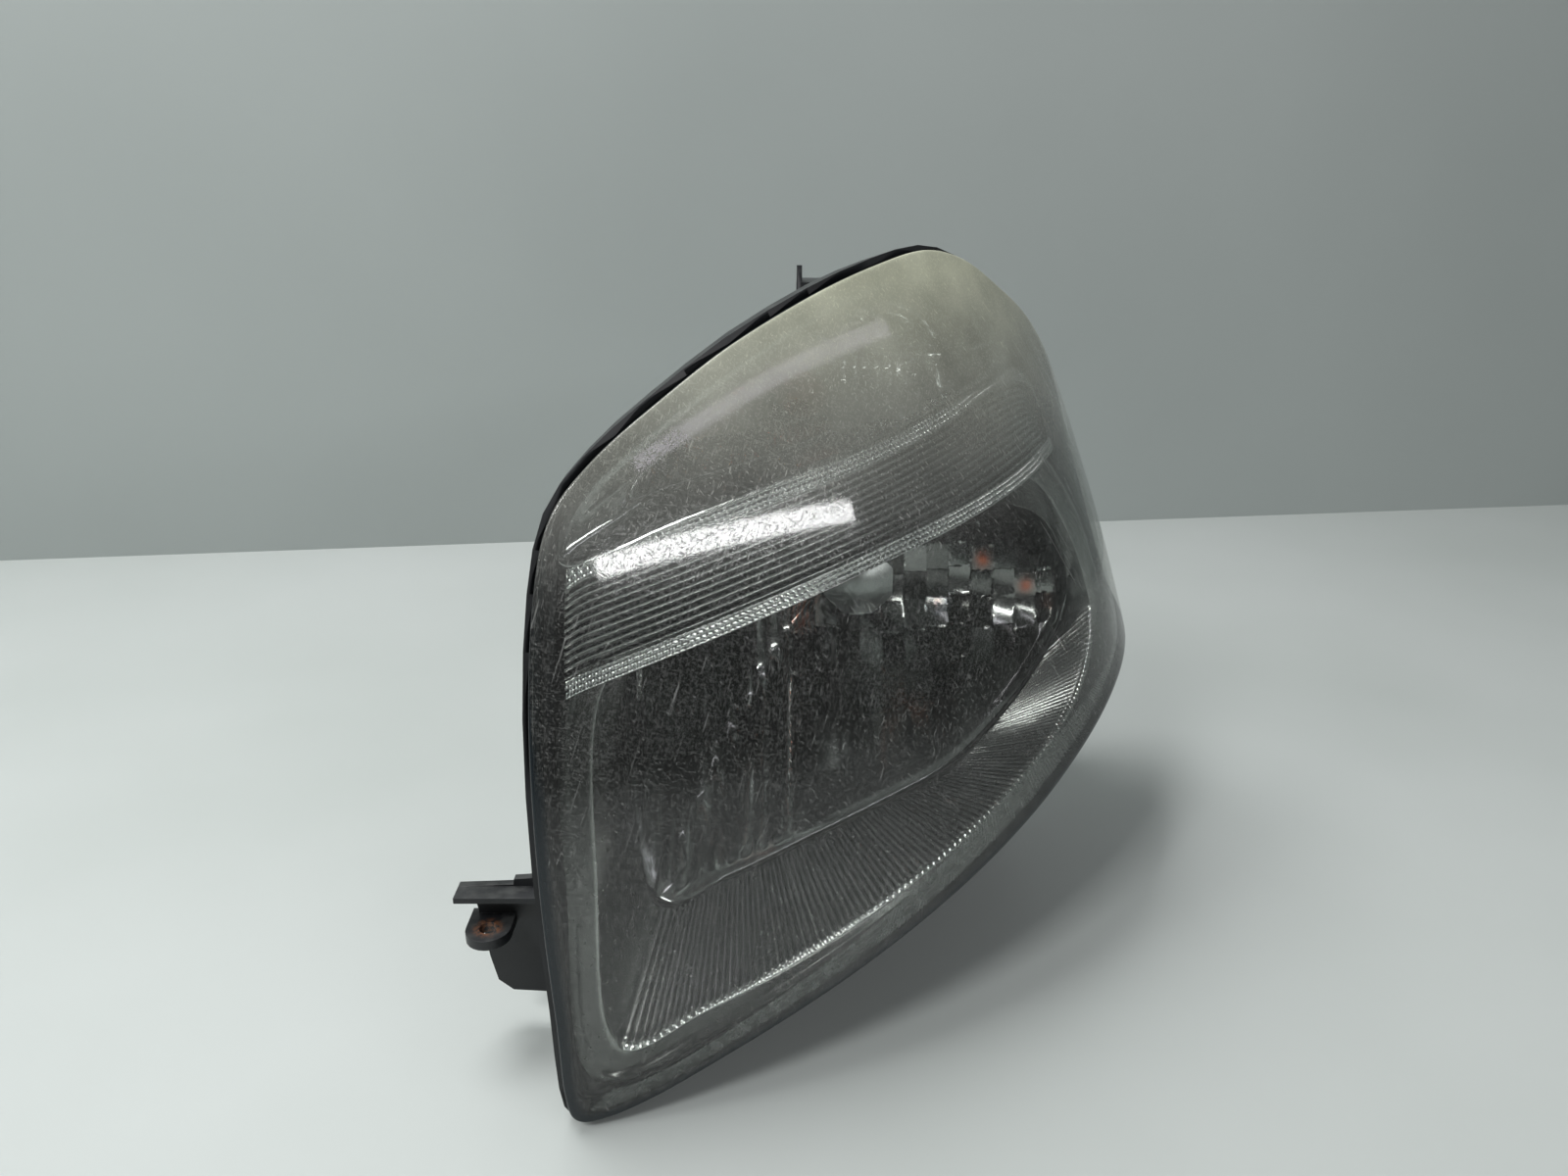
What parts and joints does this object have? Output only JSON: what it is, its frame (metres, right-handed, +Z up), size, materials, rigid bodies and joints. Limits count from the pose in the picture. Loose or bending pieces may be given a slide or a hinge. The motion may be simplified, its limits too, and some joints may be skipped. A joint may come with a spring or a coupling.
{
  "type": "car headlight assembly",
  "caption": "Left-hand car headlight: clear wrap-round lens, ribbed band over a fluted main reflector, indicator above, black housing with aiming gear and rear service cover.",
  "frame": {"origin": "centre of the bounding box in plan, at the lowest level, where the lamp stands on its inner front flange corner and two moulded feet", "axes": "+Z up, +Y towards the rear of the lamp (the lens faces -Y), +X outboard on a left-hand lamp"},
  "size_m": [0.3732, 0.3712, 0.3683],
  "materials": {
    "clear_lens": "clear moulded polycarbonate, slightly hazed",
    "black_housing": "fine grained black moulding",
    "bright_metallised": "vacuum metallised, mirror bright",
    "dark_metallised": "smoked metallised trim",
    "zinc_steel": "zinc plated",
    "brass_contact": "plain",
    "black_rubber": "matt",
    "amber_glass": "amber tinted bulb glass",
    "bulb_glass": "clear bulb glass",
    "natural_nylon": "natural white",
    "grey_nylon": "grey moulded"
  },
  "bodies": {
    "housing": {"rear_housing": "black_housing", "lens": "clear_lens", "lens_seal": "black_rubber", "lower_bezel": "dark_metallised", "upper_bezel": "bright_metallised", "divider_band": "dark_metallised", "turn_reflector": "bright_metallised", "carrier_pivot_upper": "grey_nylon", "carrier_pivot_lower": "grey_nylon", "levelling_motor": "black_housing", "horizontal_gearbox": "black_housing", "electrical_inlet": "grey_nylon", "inlet_pin_1": "brass_contact", "inlet_pin_2": "brass_contact", "inlet_pin_3": "brass_contact", "inlet_pin_4": "brass_contact", "breather_lower": "black_rubber", "breather_upper": "black_rubber", "inner_mount_bracket": "black_housing", "bracket_screw_1": "zinc_steel", "bracket_screw_2": "zinc_steel"},
    "carrier": {"aim_carrier": "grey_nylon"},
    "reflector": {"main_reflector": "bright_metallised", "bulb_shield": "dark_metallised", "main_bulb_glass": "bulb_glass", "main_bulb_base": "zinc_steel", "main_bulb_blade_1": "brass_contact", "main_bulb_blade_2": "brass_contact", "main_bulb_blade_3": "brass_contact", "clip_eye_1": "zinc_steel", "clip_eye_2": "zinc_steel", "parking_bulb": "bulb_glass", "parking_bulb_holder": "grey_nylon", "reflector_ear_inner": "grey_nylon", "reflector_ear_outer": "grey_nylon", "levelling_socket": "natural_nylon"},
    "bulb_clip_wire": {"bulb_clip": "zinc_steel"},
    "spindle": {"levelling_spindle": "natural_nylon"},
    "rod": {"horizontal_rod": "zinc_steel"},
    "vertical_knob": {"vertical_adjuster": "natural_nylon"},
    "horizontal_knob": {"horizontal_adjuster": "natural_nylon"},
    "cover_gasket": {"cover_seal": "black_rubber"},
    "cover": {"main_bulb_cover": "black_housing"},
    "turn_gasket": {"turn_holder_seal": "black_rubber"},
    "turn_holder": {"turn_bulb_holder": "grey_nylon", "turn_bulb_cap": "brass_contact", "turn_bulb_glass": "amber_glass"}
  },
  "joints": [
    {"name": "horizontal_aim", "type": "hinge", "parent": "housing", "child": "carrier", "pos_m": [-0.0646, 0.0761, 0.2494], "axis": [0, 0, 1], "range_deg": [-1.3, 1.3]},
    {"name": "vertical_aim", "type": "hinge", "parent": "carrier", "child": "reflector", "pos_m": [-0.0646, 0.0761, 0.2494], "axis": [1, 0, 0], "range_deg": [-1.2, 2.2]},
    {"name": "bulb_clip_swing", "type": "hinge", "parent": "reflector", "child": "bulb_clip_wire", "pos_m": [0.0104, 0.0831, 0.1614], "axis": [1, 0, 0], "range_deg": [-75, 0]},
    {"name": "levelling_travel", "type": "slide", "parent": "housing", "child": "spindle", "axis": [0, 1, 0], "range_m": [-0.00262, 0.0048]},
    {"name": "vertical_adjuster_turn", "type": "hinge", "parent": "housing", "child": "vertical_knob", "pos_m": [-0.0646, 0.1631, 0.1244], "axis": [0, 1, 0], "range_deg": [-189, 346]},
    {"name": "rod_travel", "type": "slide", "parent": "housing", "child": "rod", "axis": [0, 1, 0], "range_m": [-0.00303, 0.00303]},
    {"name": "horizontal_adjuster_turn", "type": "hinge", "parent": "housing", "child": "horizontal_knob", "pos_m": [0.0644, 0.1651, 0.2494], "axis": [0, 1, 0], "range_deg": [-218, 218]},
    {"name": "cover_pull", "type": "slide", "parent": "housing", "child": "cover_gasket", "axis": [0, 1, 0], "range_m": [0, 0.04]},
    {"name": "cover_twist", "type": "hinge", "parent": "cover_gasket", "child": "cover", "pos_m": [0.0104, 0.1395, 0.1894], "axis": [0, 1, 0], "range_deg": [-30, 0]},
    {"name": "turn_holder_pull", "type": "slide", "parent": "housing", "child": "turn_gasket", "axis": [0, 1, 0], "range_m": [0, 0.06]},
    {"name": "turn_holder_twist", "type": "hinge", "parent": "turn_gasket", "child": "turn_holder", "pos_m": [-0.0206, 0.1194, 0.2924], "axis": [0, 1, 0], "range_deg": [-45, 0]}
  ],
  "couplings": [
    {"joint": "levelling_travel", "follows": "vertical_aim", "m_per_rad": 0.125},
    {"joint": "vertical_adjuster_turn", "follows": "vertical_aim", "ratio": 157.08},
    {"joint": "rod_travel", "follows": "horizontal_aim", "m_per_rad": 0.133},
    {"joint": "horizontal_adjuster_turn", "follows": "horizontal_aim", "ratio": 167.13}
  ]
}
